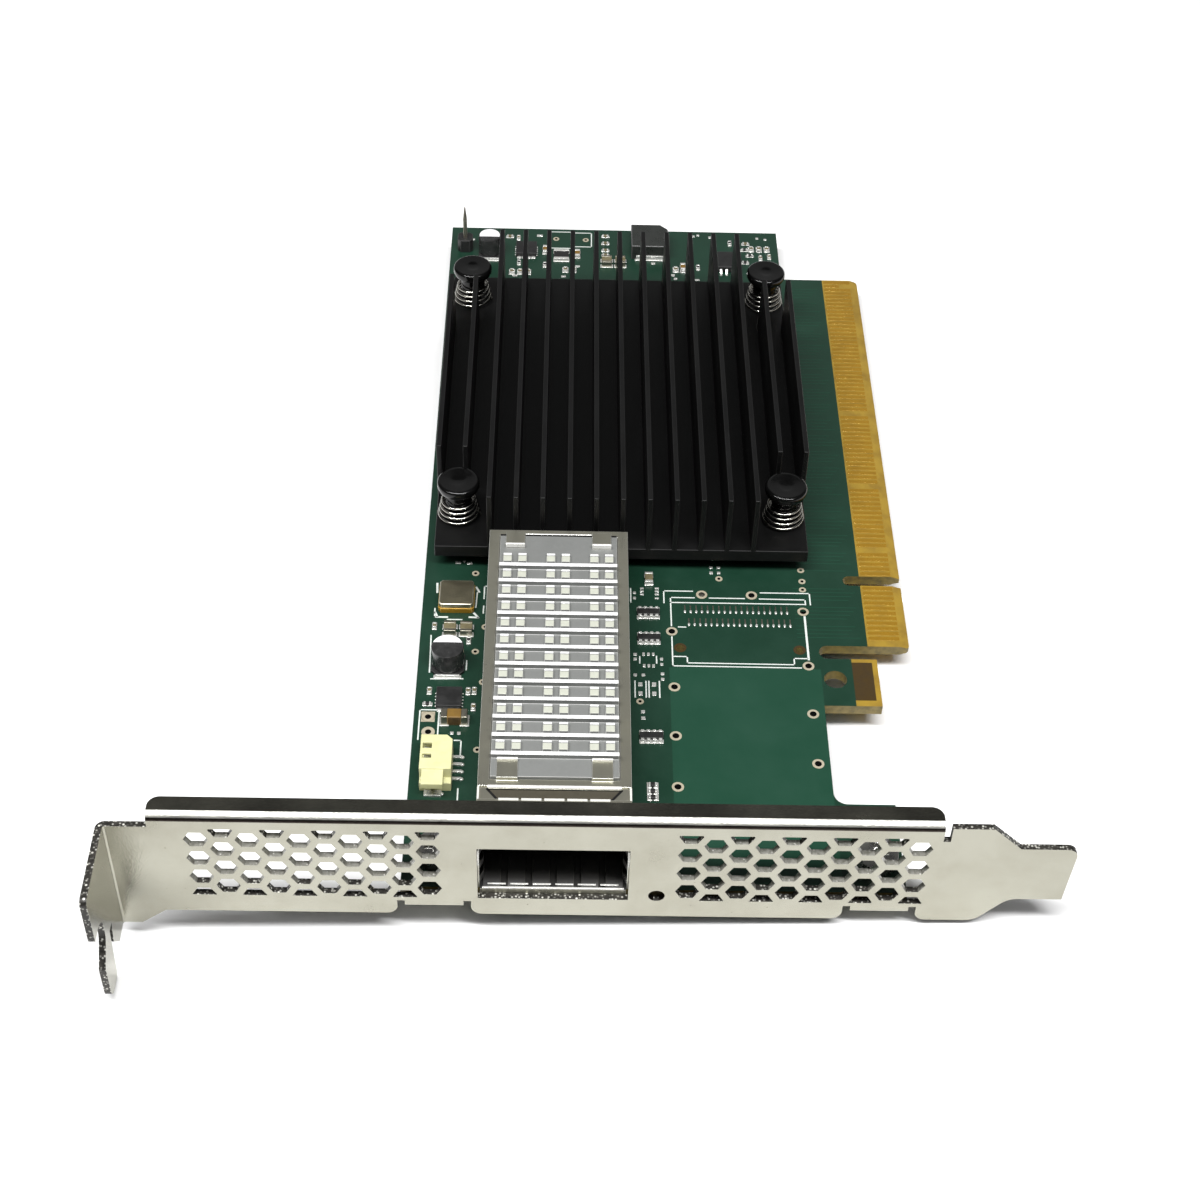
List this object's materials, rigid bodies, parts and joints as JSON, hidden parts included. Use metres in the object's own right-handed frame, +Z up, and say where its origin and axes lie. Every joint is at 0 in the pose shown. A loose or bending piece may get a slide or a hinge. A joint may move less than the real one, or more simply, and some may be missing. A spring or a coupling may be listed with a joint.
{
  "type": "infiniband adapter card",
  "caption": "Short add-in network card: board with keyed contact edge, finned heat sink on push pins, caged module port and a vented full-height slot bracket.",
  "frame": {"origin": "centre of the key notch on the contact edge, at the component face of the board", "axes": "+X out of the contact edge towards the slot, +Y along the edge away from the bracket, +Z up out of the component face"},
  "size_m": [0.1199, 0.154, 0.0236],
  "materials": {
    "board": "green solder mask over glass laminate",
    "gold": "gold plate",
    "bracket_steel": "nickel-plated sheet, satin",
    "steel": "plated, bright",
    "cage_steel": "nickel-plated sheet, satin",
    "aluminium": "plain, satin",
    "black_aluminium": "extruded, black anodised",
    "lid_metal": "nickel plate",
    "tin": "tin plate",
    "pad": "soft, matt",
    "chip_green": "laminate",
    "black_plastic": "moulded, matt",
    "cream_plastic": "moulded nylon",
    "dark_ceramic": "sintered ferrite",
    "brown_ceramic": "fired ceramic",
    "tan_moulding": "moulded epoxy",
    "clear_plastic": "clear lens"
  },
  "bodies": {
    "root": {"circuit_board": "board", "contact_fingers_component_side": "gold", "contact_fingers_solder_side": "gold", "bracket": "bracket_steel", "bracket_screws": "steel", "qsfp_cage": "cage_steel", "cage_floor": "cage_steel", "cage_collar": "cage_steel", "cage_mouth_springs": "cage_steel", "cage_heat_sink": "aluminium", "cage_clip": "cage_steel", "host_connector": "black_plastic", "host_contacts": "gold", "heat_sink": "black_aluminium", "push_pins": "black_plastic", "push_pin_springs": "steel", "chip_substrate": "chip_green", "chip_lid": "lid_metal", "thermal_pad": "pad", "oscillator_base": "gold", "oscillator_can": "lid_metal", "round_inductor_bases": "dark_ceramic", "round_inductor_drums": "dark_ceramic", "round_inductor_terminals": "tin", "power_inductor": "dark_ceramic", "power_inductor_terminals": "tin", "regulator_packages": "black_plastic", "regulator_leads": "tin", "memory_package": "black_plastic", "memory_leads": "tin", "tantalum_capacitor": "tan_moulding", "tantalum_terminals": "tin", "large_capacitors": "brown_ceramic", "large_capacitor_terminals": "tin", "small_chips": "brown_ceramic", "small_chip_terminals": "tin", "resistor_arrays": "black_plastic", "resistor_array_terminals": "tin", "wire_connector_housing": "cream_plastic", "wire_connector_leads": "tin", "header_base": "black_plastic", "header_pin": "gold", "status_lamp": "clear_plastic"}
  },
  "joints": []
}
